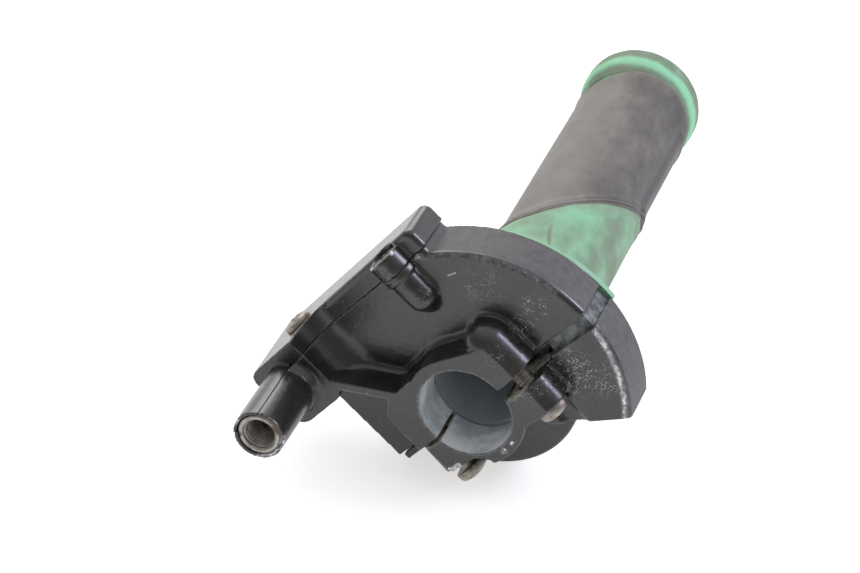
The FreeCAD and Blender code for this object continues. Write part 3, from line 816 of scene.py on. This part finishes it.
def flap(angle, y):
    """Height of the proud lengthwise flap, 0 to 1."""
    degrees = math.degrees(wrapped(angle))
    wander = 1.3 * noise.noise(Vector((0.0, y * 0.09, 3.0)))
    place = np.float64(degrees + wander)
    across = smoothstep(-54.0, -50.0, place) * (1.0 - smoothstep(-2.0, 11.0, place))
    y = np.float64(y)
    return float(across * smoothstep(99.0, 102.5, y) * (1.0 - smoothstep(140.8, 141.8, y)))


def grip_sleeve(material):
    """Worn dark sleeve with a rolled near lip, a proud flap and fine creases."""
    columns = 360
    skin_rows = 260
    lip = 1.9
    rows = [("outer", k / skin_rows) for k in range(skin_rows + 1)]
    rows += [("far", 0.5), ("inner", 1.0), ("inner", 0.5), ("inner", 0.03), ("near", 0.5)]
    masks = {"dirt_and_shade": [], "lighter_tone_and_highlight": []}

    def place(row):
        kind, t = rows[row]
        ring = []
        for k in range(columns):
            angle = 2 * math.pi * k / columns
            start, stop = sleeve_start(angle) - 0.5, sleeve_stop(angle)
            dirt_and_shade, lighter_tone_and_highlight = 0.4, 0.0
            y = start + (stop - start) * t
            if kind == "outer":
                into = y - start
                radius = SLEEVE_RADIUS + 0.85 * smoothstep(135.0, 146.0, np.float64(y)) ** 1.5
                radius += 0.85 * math.exp(-((into - 0.75) / 0.62) ** 2)
                radius += 0.5 * math.exp(-((into - 2.3) / 0.6) ** 2)
                radius += 0.35 * math.exp(-((into - 4.0) / 2.0) ** 2)
                radius += 0.07 * creases(angle, y, 0.12, 0.35, 31.0)
                radius += 0.015 * creases(angle, y, 0.5, 1.0, 40.0)
                radius += 0.85 * flap(angle, y)
                radius -= 0.25 * math.exp(-((stop - y) / 0.35))
                # Crease dirt, plus painted shade darkening the right side and the proud flap.
                dirt_and_shade = 0.2 + 0.2 * creases(angle, y, 0.1, 0.5, 13.0)
                dirt_and_shade += 0.75 * on_the_right(angle)
                dirt_and_shade += 0.6 * flap(angle, y)
                lighter_tone_and_highlight = 0.35 * math.exp(-((into - 1.0) / 0.9) ** 2)
            elif kind == "far":
                y, radius = stop, SLEEVE_INSIDE + 0.55
            elif kind == "near":
                y, radius = start, SLEEVE_INSIDE + 0.3
            else:
                y = start + lip + (stop - start - lip) * t
                radius = SLEEVE_INSIDE
            radius += lean_out(angle, y)
            ring.append(ring_point(radius, angle, y))
            masks["dirt_and_shade"].append(dirt_and_shade)
            masks["lighter_tone_and_highlight"].append(lighter_tone_and_highlight)
        return ring

    piece = closed_turn("worn_sleeve", len(rows), columns, place)
    for name, values in masks.items():
        write_mask(piece.data, name, np.clip(values, 0.0, 1.0))
    return finished(piece, "grip_sleeve", "grip", material)


# ---- putting pieces on the frame ----

def finished(piece, node, body, material):
    piece.data.materials.clear()
    piece.data.materials.append(material)
    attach(piece, body)
    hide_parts(node)
    return piece


def dress_node(node, material, bevel):
    """Keeps a CAD node, with its sharp edges broken."""
    piece = nodes[node]
    piece.data.materials.clear()
    piece.data.materials.append(material)
    modifier = piece.modifiers.new("broken_edges", "BEVEL")
    modifier.width = bevel * MM
    modifier.segments = 2
    modifier.limit_method = "ANGLE"
    modifier.angle_limit = math.radians(40.0)


def make_castings():
    paint = casting_material()
    # On the body the rim band's rubbed paint is partly a painted highlight along the rounded rim
    # edge.
    body = casting(
        "housing_casting", "housing_body", 0.3,
        [rim_wear_and_highlight(0.62, 10.0, 70.0), chip((14.2, 4.4, 34.4), 1.0), chip((16.0, 9.0, 33.8), 1.3),
         scratch((18.4, 9.0, 25.8), (20.4, 9.0, 25.2), 0.36), chip((36.6, 21.5, 4.0), 1.4, 0.8),
         long_chip((30.5, 21.8, 20.0), (36.2, 21.8, 6.0), 0.7, 0.7),
         chip((-16.0, 0.0, 17.6), 0.7, 0.8),
         long_chip((-35.0, -21.0, 25.6), (-27.0, -21.0, 25.6), 2.4, 0.8)],
        [((23.0, 9.0, 18.6), 8.0, 0.4), ((29.6, 9.0, 7.1), 4.5, 1.0), ((22.9, 8.0, 5.4), 4.5, 0.9),
         ((17.0, 1.5, 6.0), 4.0, 0.5), ((14.0, 4.5, 26.0), 4.0, 0.55)],
        edge_wear=0.62)
    finished(body, "housing_body", "housing", paint)
    cover = casting(
        "cover_casting", "cable_cover", 0.3,
        [chip((13.6, 6.0, 39.0), 1.2), chip((7.4, 5.0, 39.0), 1.1), chip((14.4, 5.2, 34.8), 1.0),
         chip((-32.0, -20.0, 36.2), 2.6, 1.2)],
        [((10.0, 4.0, 36.0), 3.5, 0.4)], edge_wear=0.5)
    finished(cover, "cable_cover", "housing", paint)
    clamp = casting(
        "clamp_casting", "clamp_half", 0.28,
        [rim_wear_and_highlight(1.05, -70.0, 10.0), long_chip((-15.0, 0.3, -9.4), (-12.0, 0.3, -9.9), 1.3, 1.1),
         chip((0.2, 0.0, -13.6), 1.6, 0.85), chip((3.4, 0.0, -13.2), 1.1, 0.8),
         chip((20.6, 3.0, -4.0), 1.6, 0.8)],
        [((24.0, 9.0, -10.9), 9.5, 1.0), ((21.0, 9.0, -4.5), 6.0, 1.0),
         ((28.0, 9.0, -16.0), 7.0, 0.9), ((15.0, 0.0, -5.0), 4.5, 0.6),
         ((20.0, 3.0, -6.0), 4.5, 0.8)],
        edge_wear=0.62)
    finished(clamp, "clamp_half", "housing", paint)


def make_small_pieces():
    tarnished = steel_material("tarnished_steel", dark=srgb(110, 103, 94),
                               light=srgb(176, 170, 160), rust=srgb(104, 84, 66), amount=0.12)
    mouth = steel_material("mouth_steel", dark=srgb(104, 100, 94), light=srgb(190, 186, 180),
                           rust=srgb(98, 84, 68), amount=0.1)
    blackened = steel_material("blackened_steel", dark=srgb(58, 56, 53), light=srgb(78, 75, 70),
                               rust=srgb(92, 80, 64), amount=0.1)
    clamp_size = dict(shank=2.35, head=4.05, height=3.05, length=16.4, pitch=0.9)
    screw("clamp_screw_a", "clamp_screw_left", (-14.1, 5.7, -12.35), True,
          material=tarnished, **clamp_size)
    screw("clamp_screw_b", "clamp_screw_right", (15.2, 5.7, -12.72), True,
          material=tarnished, **clamp_size)
    screw("cover_screw_a", "cover_screw_lower", (-23.5, 10.5, 38.9), False,
          shank=1.95, head=3.55, height=2.15, length=12.4, pitch=0.7, material=tarnished)
    screw("cover_screw_b", "cover_screw_upper", (10.0, 8.0, 36.9), False,
          shank=1.95, head=3.38, height=2.25, length=8.9, pitch=0.7, material=blackened, dome=0.3)
    thread_insert(mouth, (-30.9, 30.4), -20.7, -8.05)
    dress_node("cable_ferrule", brass_material(), 0.15)
    dress_node("cable_guide", nylon_material(), 0.2)
    dress_node("throttle_tube", aluminium_material(), 0.4)
    dress_node("cable_drum", green_plastic_material(), 0.2)


# ---- studio ----

def make_camera():
    camera = bpy.data.cameras.new("camera")
    camera.sensor_width = 36.0
    camera.lens = 138.2
    holder = bpy.data.objects.new("camera", camera)
    holder.location = (0.198447, -0.604852, 0.438382)
    holder.rotation_euler = (math.radians(57.62), 0.0, math.radians(18.86))
    bpy.context.scene.collection.objects.link(holder)
    bpy.context.scene.camera = holder


def make_floor():
    mesh = bpy.data.meshes.new("floor")
    normal = Vector((0.05, -0.07, 1.0)).normalized()
    across = Vector((1, 0, 0)).cross(normal).normalized()
    along = normal.cross(across).normalized()
    centre = Vector((0.0, 0.0185, -0.0246))
    reach = 6.0
    corners = [centre + across * (reach * a) + along * (reach * b)
               for a, b in ((-1, -1), (1, -1), (1, 1), (-1, 1))]
    mesh.from_pydata(corners, [], [(0, 1, 2, 3)])
    floor = bpy.data.objects.new("floor", mesh)
    bpy.context.scene.collection.objects.link(floor)
    s = Surface("floor", roughness=0.9)
    s.shader.inputs["Base Color"].default_value = (0.62, 0.617, 0.61, 1)
    s.shader.inputs["Emission Color"].default_value = (1.0, 0.992, 0.98, 1)
    s.shader.inputs["Emission Strength"].default_value = 0.62
    mesh.materials.append(s.material)


def softbox(name, direction, distance, size, power, color):
    light = bpy.data.lights.new(name, "AREA")
    light.shape = "RECTANGLE"
    light.size, light.size_y = size
    light.energy = power
    light.color = color
    holder = bpy.data.objects.new(name, light)
    target = Vector((0.01, 0.04, 0.01))
    way = Vector(direction).normalized()
    holder.location = target + way * distance
    holder.rotation_euler = way.to_track_quat("Z", "Y").to_euler()
    bpy.context.scene.collection.objects.link(holder)


def make_studio():
    make_camera()
    make_floor()
    make_sky()
    bpy.context.scene.view_settings.view_transform = "Standard"
    softbox("window", (0.74, 0.30, 0.59), 1.2, (0.55, 0.5), 10.0, (0.76, 0.77, 1.0))
    softbox("ceiling", (-0.5, 0.6, 0.63), 1.4, (1.3, 0.8), 11.0, (1.0, 0.98, 0.95))


def make_sky():
    """Bright overhead and behind the grip, dim on the camera's side."""
    world = bpy.data.worlds.new("studio")
    world.use_nodes = True
    tree = world.node_tree
    place = tree.nodes.new("ShaderNodeTexCoord").outputs["Generated"]
    toward = tree.nodes.new("ShaderNodeVectorMath")
    toward.operation = "DOT_PRODUCT"
    toward.inputs[1].default_value = (0.0, 0.5, 0.62)
    tree.links.new(place, toward.inputs[0])
    ramp = tree.nodes.new("ShaderNodeValToRGB")
    ramp.color_ramp.elements[0].position = 0.02
    ramp.color_ramp.elements[0].color = (0.27, 0.27, 0.26, 1)
    ramp.color_ramp.elements[1].position = 0.6
    ramp.color_ramp.elements[1].color = (0.95, 0.95, 1.0, 1)
    tree.links.new(toward.outputs["Value"], ramp.inputs[0])
    background = tree.nodes["Background"]
    tree.links.new(ramp.outputs[0], background.inputs[0])
    background.inputs[1].default_value = 1.15
    bpy.context.scene.world = world


make_studio()
make_castings()
make_small_pieces()
grip_rubber(green_rubber_material())
grip_sleeve(sleeve_material())
